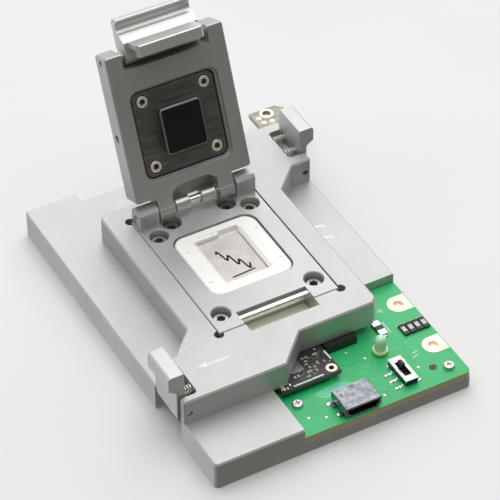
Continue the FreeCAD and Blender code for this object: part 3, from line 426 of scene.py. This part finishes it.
def add_line(bm, a, b, width, z0, z1, steps=5):
    """A slab along a line, with round ends."""
    ahead = Vector((b[0] - a[0], b[1] - a[1]))
    turn = math.atan2(ahead.y, ahead.x)
    outline = []
    for centre, start in ((b, turn - math.pi / 2), (a, turn + math.pi / 2)):
        for k in range(steps + 1):
            angle = start + math.pi * k / steps
            outline.append((centre[0] + width / 2 * math.cos(angle), centre[1] + width / 2 * math.sin(angle)))
    add_slab(bm, outline, z0, z1)


def add_path(bm, points, width, z0, z1):
    for a, b in zip(points, points[1:]):
        add_line(bm, a, b, width, z0, z1)


def add_blob(bm, x, y, z, across, deep, high):
    """A rounded solder fillet standing on a board."""
    size = Matrix.Diagonal((across / 2 * MM, deep / 2 * MM, high * MM, 1))
    spot = Matrix.Translation((x * MM, y * MM, z * MM)) @ size
    made = bmesh.ops.create_uvsphere(bm, u_segments=20, v_segments=12, radius=1, matrix=spot)
    below = [v for v in made["verts"] if v.co.z < (z - 0.001) * MM]
    for v in below:
        v.co.z = z * MM


def slab_piece(name, outlines, z, material, thick=FILM):
    bm = bmesh.new()
    for outline in outlines:
        add_slab(bm, outline, z, z + thick)
    return piece(name, finish_mesh(name, bm), material)


def add_bar(bm, profile, x0, x1):
    """A closed bar along X with an outline of (y, z) in millimetres."""
    near = [bm.verts.new((x0 * MM, y * MM, z * MM)) for y, z in profile]
    far = [bm.verts.new((x1 * MM, y * MM, z * MM)) for y, z in profile]
    bm.faces.new(near)
    bm.faces.new(far)
    for i in range(len(profile)):
        j = (i + 1) % len(profile)
        bm.faces.new((near[i], near[j], far[j], far[i]))


def line_piece(name, paths, width, z, material, body="fixture", thick=FILM):
    bm = bmesh.new()
    for points in paths:
        add_path(bm, points, width, z, z + thick)
    return piece(name, finish_mesh(name, bm), material, body)


def blob_piece(name, spots, z):
    bm = bmesh.new()
    for x, y, across, deep, high in spots:
        add_blob(bm, x, y, z, across, deep, high)
    return piece(name, finish_mesh(name, bm, True), solder)


def top_of(node):
    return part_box(node)[1].z / MM


# ---------------------------------------------------------------- main board details
board_top = top_of("main_board")
line_piece("board_traces", [
    [(7.1, -25.9), (8.8, -28.0), (11.4, -30.6), (12.2, -30.7), (13.0, -29.2)],
    [(6.4, -27.6), (8.2, -29.6), (9.8, -31.4)],
    [(4.7, -30.2), (6.1, -31.7), (6.6, -33.8)],
    [(-3.1, -30.7), (-1.2, -32.3), (1.7, -31.4), (2.9, -31.3), (2.9, -34.0)],
    [(10.0, -35.4), (10.8, -37.0), (12.4, -37.6)],
    [(9.4, -33.0), (11.0, -33.7), (12.6, -33.7)],
    [(16.5, -28.0), (19.8, -28.2), (22.0, -27.0)]], 0.22, board_top, trace_green)
slab_piece("board_patch", [[(-1.5, -31.2), (4.2, -30.6), (7.0, -32.6), (6.9, -34.0), (1.2, -34.0), (-1.4, -32.6)]],
           board_top, patch_green, thick=FILM * 0.6)
line_piece("board_silk", [
    [(20.3, -17.8), (21.5, -17.8)], [(20.9, -18.4), (20.9, -17.2)],
    [(20.2, -30.9), (21.4, -30.6)], [(19.6, -32.0), (20.9, -31.6)],
    [(19.6, -20.6), (19.6, -23.8)], [(21.4, -22.9), (27.0, -22.9)]], 0.16, board_top, silk)

# Skins that give the four chips in a row their dark ends and pale tops.
row_low, row_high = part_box("chip_end_caps")
row_x = [row_high.x / MM - 0.6 - 1.45 * k for k in range(4)]
row_y = row_low.y / MM
bm = bmesh.new()
for x in row_x:
    for y in (row_y, row_y + 2.45):
        add_slab(bm, rectangle(x - 0.62, x + 0.62, y - FILM, y + 0.45 + FILM), board_top, board_top + 0.53)
piece("chip_ends", finish_mesh("chip_ends", bm), surfaces["chip_black"])
slab_piece("chip_tops", [rectangle(x - 0.4, x + 0.4, row_y + 0.8, row_y + 2.1) for x in row_x],
           top_of("chip_resistors") - 0.1, ink("chip_glaze", (0.62, 0.62, 0.58), 0.35))

via_spots = ((9.2, -24.6), (11.6, -27.6), (17.4, -30.4), (19.2, -34.6), (12.4, -35.8), (-5.6, -36.2),
             (-2.6, -37.6), (9.8, -37.9))
bm = bmesh.new()
for x, y in via_spots:
    add_line(bm, (x - 0.01, y), (x + 0.01, y), 0.5, board_top, board_top + FILM, 8)
piece("board_vias", finish_mesh("board_vias", bm), surfaces["pad_gold"])

usb_low, usb_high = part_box("usb_shell")
left, right = usb_low.x / MM, usb_high.x / MM
blob_piece("board_solder", [
    (left - 0.15, -34.9, 1.5, 1.3, 0.35), (left + 0.0, -38.2, 0.9, 1.1, 0.35),
    (right + 0.15, -35.6, 1.2, 1.1, 0.35), (right + 0.0, -38.2, 0.9, 1.1, 0.35),
    (12.7, -33.7, 1.2, 0.8, 0.28), (12.7, -35.6, 1.2, 0.8, 0.28), (12.7, -37.6, 1.2, 0.8, 0.28),
    (17.7, -37.6, 0.8, 0.8, 0.25), (17.7, -31.9, 0.8, 0.8, 0.25),
    (18.0, -20.1, 1.6, 0.7, 0.25), (18.0, -24.3, 1.6, 0.7, 0.25),
    (14.1, -27.6, 0.8, 0.8, 0.2), (15.9, -27.6, 0.8, 0.8, 0.2)], board_top)
turns = [a * math.pi / 8 for a in range(17)]
line_piece("test_ring", [[(21.6 + 0.62 * math.cos(a), -36.0 + 0.62 * math.sin(a)) for a in turns]],
           0.34, board_top, solder)

# ---------------------------------------------------------------- daughter board details
small_top = top_of("daughter_board")
line_piece("daughter_silk", [
    [(-4.7, -29.3), (-3.1, -29.3)], [(-2.85, -29.3), (-1.05, -29.3)], [(-0.75, -29.25), (1.5, -29.25)],
    [(4.85, -23.8), (4.95, -26.1)]], 0.34, small_top, silk)
random.seed(7)
spots = []
for row in range(9):
    for column in range(13):
        x = -3.2 + 0.62 * column + random.uniform(-0.12, 0.12)
        y = -28.4 + 0.62 * row + random.uniform(-0.12, 0.12)
        near_can = -3.9 < x < -0.6 and -26.9 < y < -23.2
        near_pad = math.hypot(x - 3.8, y + 28.4) < 1.5
        if random.random() < 0.5 and x < 4.6 and not near_can and not near_pad:
            spots.append((x, y, random.choice(((0.16, 0), (0, 0.16), (0.28, 0)))))
line_piece("daughter_marks", [[(x, y), (x + dx, y + dy)] for x, y, (dx, dy) in spots], 0.12, small_top,
           ink("silk_grey", (0.45, 0.46, 0.45)))
line_piece("daughter_can_bar", [[(-2.0, -24.5), (-3.2, -25.7)]], 0.34, top_of("daughter_chip"),
           surfaces["chip_black"])
blob_piece("daughter_solder", [
    (-5.3, -28.5, 0.5, 0.9, 0.12), (-6.1, -29.1, 0.4, 0.9, 0.12), (-6.8, -29.1, 0.4, 0.9, 0.12)], small_top)

# ---------------------------------------------------------------- marks on the metal and on the chip
deck = top_of("carrier_plate")
slab_piece("arrow_mark", [
    [(-14.4, -21.85), (-14.4, -21.35), (-18.9, -21.25), (-18.9, -20.75), (-20.8, -21.35), (-18.9, -22.15),
     (-18.9, -21.65)]],
    deck, mark, thick=FILM / 2)
line_piece("base_marks", [[(21.3, 7.7), (22.7, 7.3)], [(21.2, 4.2), (22.7, 3.5)]], 0.75, top_of("base_plate"),
           mark, thick=FILM / 2)

# A pale film on the slope and floor of the scoop in front of the catch rod.
rod_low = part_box("catch_rod")[0]
front, floor_z = rod_low.y / MM - 4.0, top_of("catch_rod") - 3.9
bm = bmesh.new()
add_bar(bm, [
    (front + 0.05, deck - 0.1), (front + 1.23, floor_z + 0.01), (front + 5.8, floor_z + 0.01),
    (front + 5.8, floor_z + 0.03), (front + 1.25, floor_z + 0.03), (front + 0.07, deck - 0.1)], -7.38, 7.38)
piece("scoop_film", finish_mesh("scoop_film", bm), ink("scoop_cream", (0.86, 0.87, 0.72), 0.5))

# Painted shade: dark films on the floors of the hexagon sockets, under the lid and in the socket insert.
lid_joint = next(j for j in frame["record"]["behaviour"]["joints"] if j["name"] == "lid_hinge")
opened = Matrix.Rotation(-math.radians(lid_joint["range_deg"][1]), 4, "X")
axis_spot = Matrix.Translation(Vector(lid_joint["pos_m"]))
# Near-black film that paints the shade inside the sockets.
painted_shade = ink("socket_painted_shade", (0.012, 0.011, 0.010), 0.6)
bm = bmesh.new()
for x in (-6.75, 6.75):
    for y in (-9.25, -22.75):
        add_slab(bm, hexagon(x, y, 1.12), -0.63, -0.605)
mesh = finish_mesh("press_screw_sockets", bm)
mesh.transform(axis_spot @ opened)
piece("press_screw_sockets", mesh, painted_shade, "lid")
socket_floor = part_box("insert_screws")[1].z / MM - 0.8
screw_spots = ((-10.1, 14.9), (10.1, 14.9), (-6.1, 17.2), (6.1, 17.2), (-10.1, -10.6), (10.1, -10.6))
slab_piece("insert_screw_sockets", [hexagon(x, y, 1.56) for x, y in screw_spots], socket_floor + 0.005, painted_shade)

chip_low, chip_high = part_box("chip")
middle = (chip_low + chip_high) / 2 / MM
wave = [(middle.x - 2.4 + 0.24 * k, middle.y + 2.4 - 0.33 * k + 1.1 * math.sin(1.05 * k)) for k in range(20)]
bar = [(middle.x - 2.6, middle.y - 5.0), (middle.x + 2.2, middle.y - 4.7)]
line_piece("pen_strokes", [wave, bar], 0.42, top_of("chip"), pen, "socket_nest", thick=FILM / 2)

# ---------------------------------------------------------------- lamp frame inside the clear body
led_low, led_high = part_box("led")
led_mid = (led_low + led_high) / 2 / MM
bm = bmesh.new()
led_foot = led_low.z / MM
for x0, x1, high in ((-0.75, -0.1, 2.0), (0.15, 0.6, 1.7)):
    outline = rectangle(led_mid.x + x0, led_mid.x + x1, led_mid.y - 0.2, led_mid.y + 0.2)
    add_slab(bm, outline, led_foot + 0.1, led_foot + high)
piece("led_frame", finish_mesh("led_frame", bm), solder)


# ---------------------------------------------------------------- round-wire springs under the levers
def lever_spring(name, node, wire):
    low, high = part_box(node)
    radius = (high.z - low.z) / 2 - wire / 2 * MM
    curve = bpy.data.curves.new(name, "CURVE")
    curve.dimensions = "3D"
    curve.bevel_depth = wire / 2 * MM
    curve.bevel_resolution = 4
    curve.use_fill_caps = True
    turns, per_turn = 5, 16
    for y in (low.y + radius + wire / 2 * MM, high.y - radius - wire / 2 * MM):
        spline = curve.splines.new("POLY")
        count = turns * per_turn + 1
        spline.points.add(count - 1)
        for k in range(count):
            angle = 2 * math.pi * k / per_turn
            share = k / (count - 1)
            x = low.x + wire / 2 * MM + share * (high.x - low.x - wire * MM)
            point = (x, y + radius * math.cos(angle), (low.z + high.z) / 2 + radius * math.sin(angle))
            spline.points[k].co = (*point, 1)
    source = bpy.data.objects.new(name + "_curve", curve)
    bpy.context.scene.collection.objects.link(source)
    bpy.context.view_layer.update()
    mesh = bpy.data.meshes.new_from_object(source.evaluated_get(bpy.context.evaluated_depsgraph_get()))
    bpy.data.objects.remove(source)
    for face in mesh.polygons:
        face.use_smooth = True
    mesh.materials.clear()
    made = piece(name, mesh, surfaces["spring_steel"])
    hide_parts(node)
    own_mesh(made)
    return made


lever_spring("left_coils", "lever_springs_left", 0.3)
lever_spring("right_coils", "lever_springs_right", 0.3)


def sprung(name, node, body):
    """A copy of a coil node, riding on the given body."""
    mesh = nodes[node].data.copy()
    mesh.transform(nodes[node].matrix_world)
    mesh.materials.clear()
    made = piece(name, mesh, surfaces["spring_steel"], body)
    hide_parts(node)
    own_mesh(made)


sprung("nest_coils", "nest_springs", "fixture")
sprung("press_coils", "press_springs", "lid")


# ---------------------------------------------------------------- floor and light
def add_floor():
    bm = bmesh.new()
    add_slab(bm, [(-3000, -3000), (3000, -3000), (3000, 3000), (-3000, 3000)], -1.0, -0.02)
    mesh = finish_mesh("floor", bm)
    s = Surface("floor", roughness=0.7)
    s.put("Base Color", s.mix(s.span(s.noise(60, 2), 0, 1), (0.74, 0.74, 0.742), (0.77, 0.77, 0.772)))
    mesh.materials.append(s.material)
    floor = bpy.data.objects.new("floor", mesh)
    bpy.context.scene.collection.objects.link(floor)
    floor.visible_diffuse = False
    floor.visible_glossy = False


def add_light(name, place, size, power):
    data = bpy.data.lights.new(name, "AREA")
    data.size = size
    data.energy = power
    lamp = bpy.data.objects.new(name, data)
    lamp.location = place
    lamp.rotation_mode = "QUATERNION"
    lamp.rotation_quaternion = (-Vector(place)).to_track_quat("-Z", "Y")
    bpy.context.scene.collection.objects.link(lamp)


def add_sky():
    """A light tent: bright behind, dim and slightly warm towards the front."""
    world = bpy.data.worlds.new("sky")
    world.use_nodes = True
    tree = world.node_tree
    coords = tree.nodes.new("ShaderNodeTexCoord")
    parts = tree.nodes.new("ShaderNodeSeparateXYZ")
    reach = tree.nodes.new("ShaderNodeMapRange")
    reach.interpolation_type = "SMOOTHSTEP"
    reach.inputs["From Min"].default_value = -0.7
    reach.inputs["From Max"].default_value = 0.7
    blend = tree.nodes.new("ShaderNodeMix")
    blend.data_type = "RGBA"
    blend.inputs[6].default_value = (*FRONT_SKY, 1)
    blend.inputs[7].default_value = (*BACK_SKY, 1)
    tree.links.new(coords.outputs["Generated"], parts.inputs[0])
    tree.links.new(parts.outputs["Y"], reach.inputs["Value"])
    tree.links.new(reach.outputs["Result"], blend.inputs[0])
    tree.links.new(blend.outputs[2], tree.nodes["Background"].inputs["Color"])
    bpy.context.scene.world = world


FRONT_SKY = (0.19, 0.185, 0.165)
BACK_SKY = (0.82, 0.82, 0.83)
add_floor()
add_sky()
add_light("back_softbox", (0.33, 0.58, 0.66), 1.2, 4.0)
add_light("top_softbox", (0.02, -0.1, 0.95), 1.0, 5.0)
bpy.context.scene.view_settings.view_transform = "Standard"
